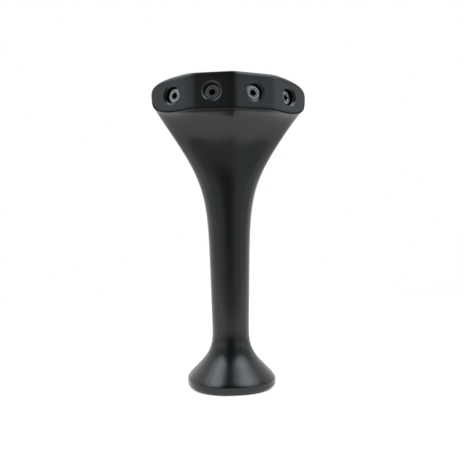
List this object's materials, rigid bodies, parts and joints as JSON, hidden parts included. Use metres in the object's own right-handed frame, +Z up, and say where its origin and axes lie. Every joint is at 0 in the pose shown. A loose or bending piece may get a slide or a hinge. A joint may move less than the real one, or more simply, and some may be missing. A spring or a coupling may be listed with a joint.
{
  "type": "beer tower dispenser",
  "caption": "Cast beer tower: flared foot, slim column and forward-swept hood whose faceted front carries threaded tap outlets.",
  "frame": {"origin": "middle of the foot's seat on the counter", "axes": "+Z up, the tap outlets face -Y, left and right are mirror images about X = 0"},
  "size_m": [0.196, 0.1305, 0.3888],
  "materials": {
    "casting_black": "satin",
    "stainless": "turned",
    "washer_rubber": "matt",
    "nut_brass": "machined",
    "line_steel": "drawn",
    "screw_steel": "zinc plated",
    "foam": "foamed",
    "spacer_plastic": "moulded",
    "plate_steel": "zinc plated",
    "seal_rubber": "matt"
  },
  "bodies": {
    "root": {"base_plate": "plate_steel", "base_seal": "seal_rubber", "beer_line_1": "line_steel", "beer_line_2": "line_steel", "beer_line_3": "line_steel", "beer_line_4": "line_steel", "cooling_loop": "line_steel", "insulation_core": "foam", "line_nut_1": "nut_brass", "line_nut_2": "nut_brass", "line_nut_3": "nut_brass", "line_nut_4": "nut_brass", "locknut_1": "nut_brass", "locknut_2": "nut_brass", "locknut_3": "nut_brass", "locknut_4": "nut_brass", "lower_line_spacer": "spacer_plastic", "plate_screw_1": "screw_steel", "plate_screw_2": "screw_steel", "plate_screw_3": "screw_steel", "plate_screw_4": "screw_steel", "spigot_1": "stainless", "spigot_2": "stainless", "spigot_3": "stainless", "spigot_4": "stainless", "spigot_washer_1": "washer_rubber", "spigot_washer_2": "washer_rubber", "spigot_washer_3": "washer_rubber", "spigot_washer_4": "washer_rubber", "tower_body": "casting_black", "upper_line_spacer": "spacer_plastic"}
  },
  "joints": []
}
